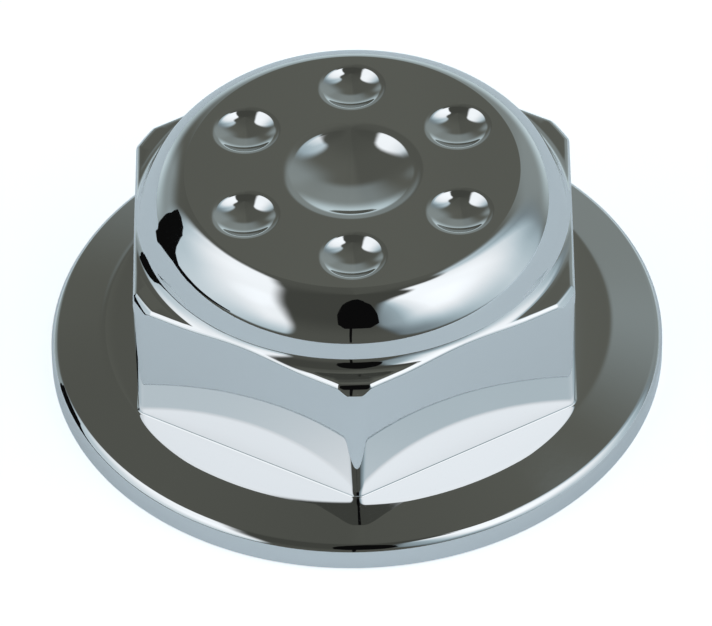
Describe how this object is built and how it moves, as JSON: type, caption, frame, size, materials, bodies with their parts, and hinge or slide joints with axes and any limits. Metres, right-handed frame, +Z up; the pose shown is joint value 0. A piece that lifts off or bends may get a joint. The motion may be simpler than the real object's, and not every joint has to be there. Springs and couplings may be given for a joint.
{
  "type": "steering stem nut",
  "caption": "Chromed closed flange nut for a motorcycle steering stem: hexagon on a wide round flange, domed crown with shallow dimples, blind internal thread.",
  "frame": {"origin": "centre of the flange's seat face, on the thread axis", "axes": "+Z up along the thread axis, from the seat towards the crown; one corner of the hexagon towards -Y"},
  "size_m": [0.051, 0.051, 0.0205],
  "materials": {
    "polished_chrome": "mirror-polished bright chrome plate"
  },
  "bodies": {
    "root": {"stem_nut": "polished_chrome"}
  },
  "joints": []
}
